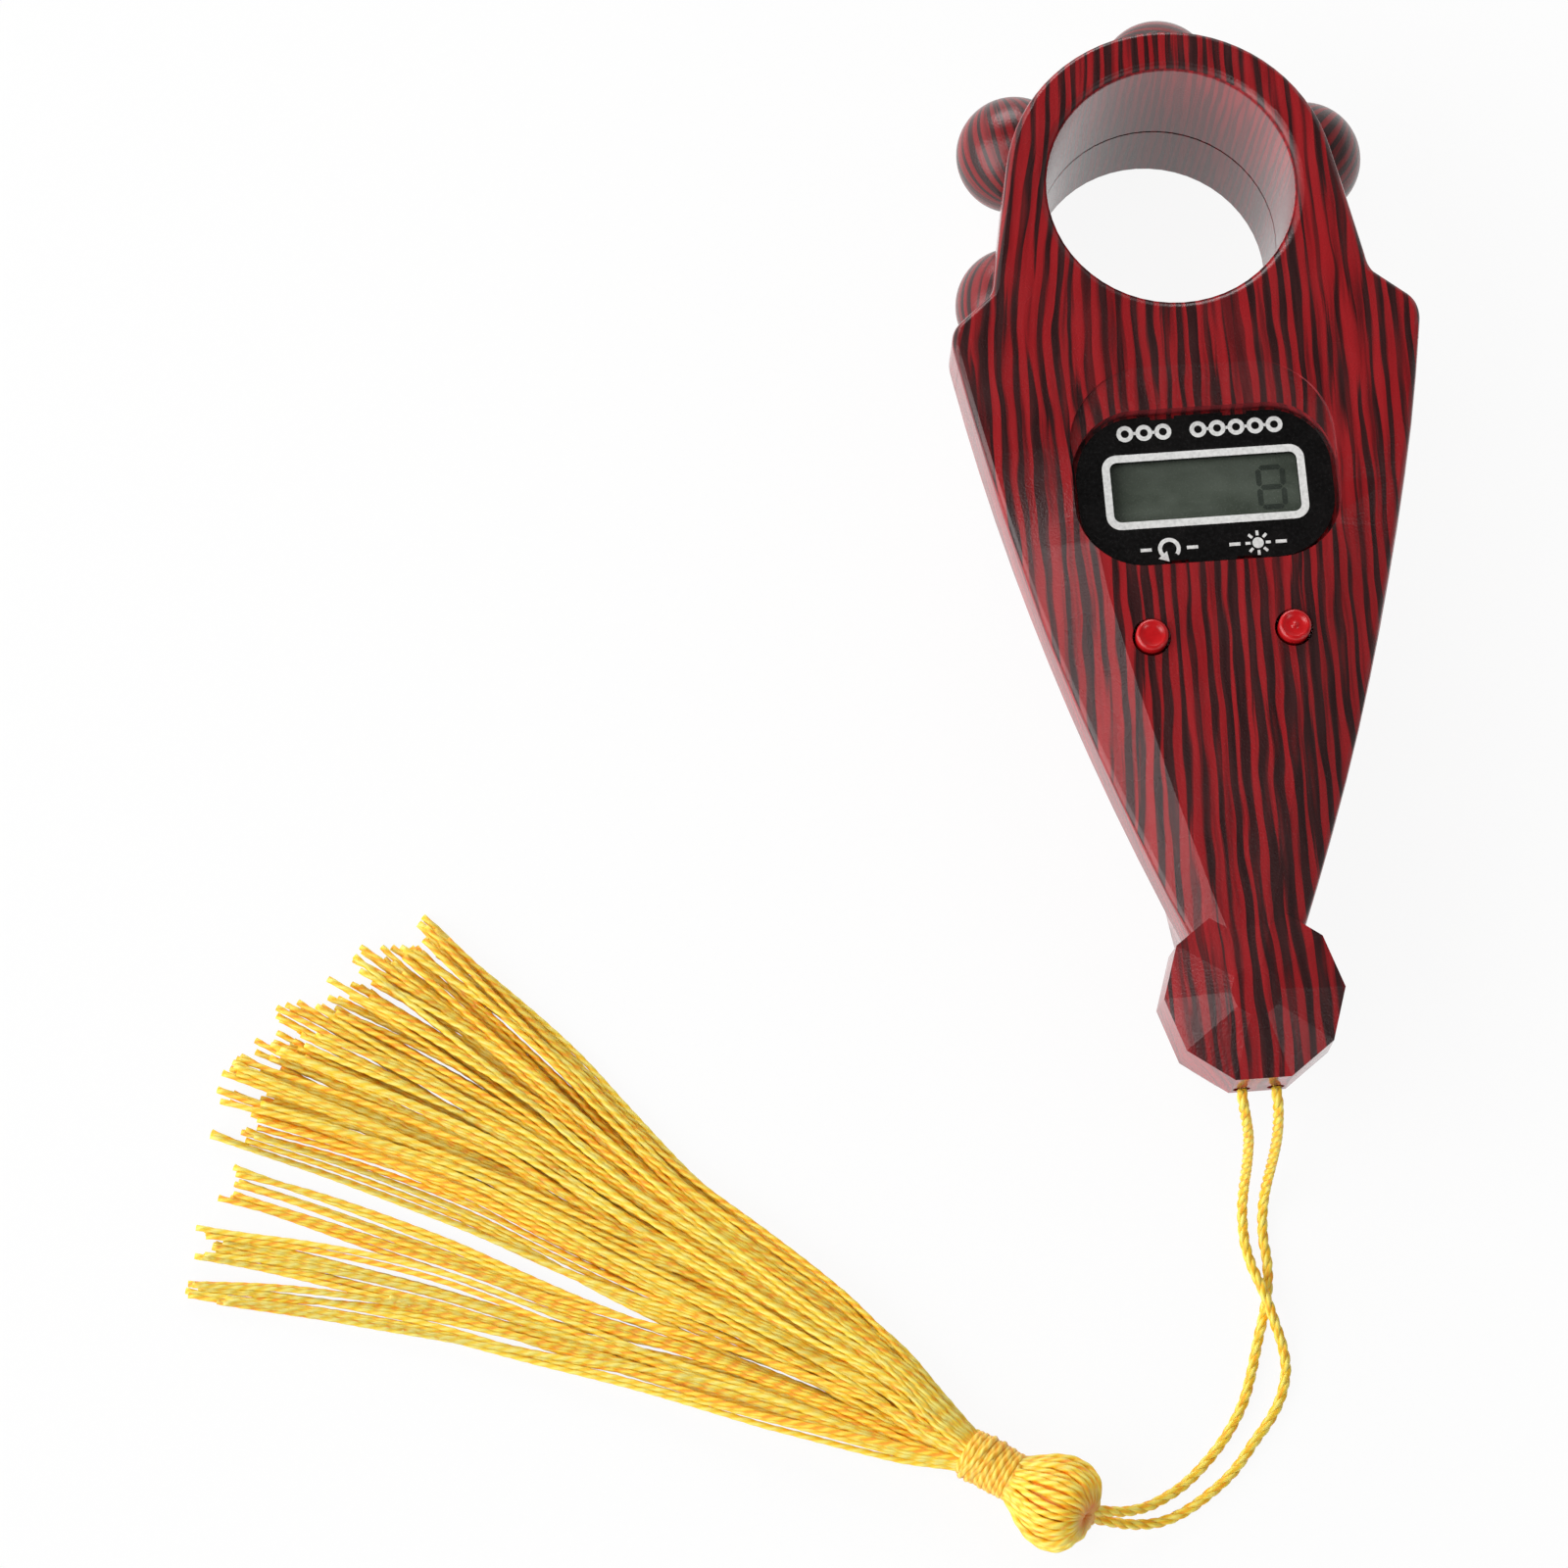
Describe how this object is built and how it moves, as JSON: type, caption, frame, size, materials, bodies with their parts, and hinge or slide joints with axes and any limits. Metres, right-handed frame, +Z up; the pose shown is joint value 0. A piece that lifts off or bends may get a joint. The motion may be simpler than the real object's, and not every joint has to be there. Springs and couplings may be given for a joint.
{
  "type": "electronic bead counter",
  "caption": "Hand-held electronic bead counter in striped red plastic, with a finger ring, a turning bead wheel, a small display, two push buttons and a golden tassel on a cord.",
  "frame": {"origin": "under the middle of the case with its bead wheel and buttons, in the plane of the flat back", "axes": "+Y from the knob with the cord to the finger ring, +Z up out of the front face with the display, +X to the light button's side"},
  "size_m": [0.1294, 0.1552, 0.0274],
  "materials": {
    "case": "satin",
    "bead": "satin",
    "hub": "matte",
    "label": "gloss",
    "glass": "polished",
    "button": "gloss",
    "black_plastic": "matte",
    "white_plastic": "satin",
    "rubber": "matte",
    "board": "satin",
    "steel": "polished",
    "cell_steel": "brushed",
    "brass": "satin",
    "wire": "matte",
    "cord": "woven"
  },
  "bodies": {
    "case": {"front_case": "case", "rear_case": "case", "battery_door": "case", "battery_door_screw": "steel", "case_screw_1": "steel", "case_screw_2": "steel", "case_screw_3": "steel", "display_label": "label", "lcd_panel": "glass", "lcd_holder": "black_plastic", "zebra_strip": "rubber", "backlight_diffuser": "white_plastic", "backlight_led": "white_plastic", "circuit_board": "board", "board_screw_1": "steel", "board_screw_2": "steel", "counter_chip": "black_plastic", "wiper_contacts": "brass", "reset_switch": "black_plastic", "light_switch": "black_plastic", "battery_cell_1": "cell_steel", "battery_cell_2": "cell_steel", "battery_contact_plus": "brass", "battery_contact_minus": "brass", "battery_link": "brass", "battery_wire_plus": "wire", "battery_wire_minus": "wire", "slip_washer": "white_plastic", "cord_bight": "cord", "cord_leg_left": "cord", "cord_leg_right": "cord", "tassel_head": "cord", "tassel_wrap": "cord", "tassel_skirt": "cord"},
    "bead_wheel": {"wheel_hub": "hub", "contact_ring": "brass", "bead_1": "bead", "bead_2": "bead", "bead_3": "bead", "bead_4": "bead", "bead_5": "bead", "bead_6": "bead"},
    "reset_key": {"reset_button": "button", "reset_plunger": "white_plastic"},
    "light_key": {"light_button": "button", "light_plunger": "white_plastic"}
  },
  "joints": [
    {"name": "bead_wheel_spin", "type": "hinge", "parent": "case", "child": "bead_wheel", "pos_m": [0, 0.03417, 0.0131], "axis": [0, 0, 1], "continuous": true},
    {"name": "reset_press", "type": "slide", "parent": "case", "child": "reset_key", "axis": [0, 0, -1], "range_m": [0, 0.0008], "stiffness_N_per_m": 900},
    {"name": "light_press", "type": "slide", "parent": "case", "child": "light_key", "axis": [0, 0, -1], "range_m": [0, 0.0008], "stiffness_N_per_m": 900}
  ]
}
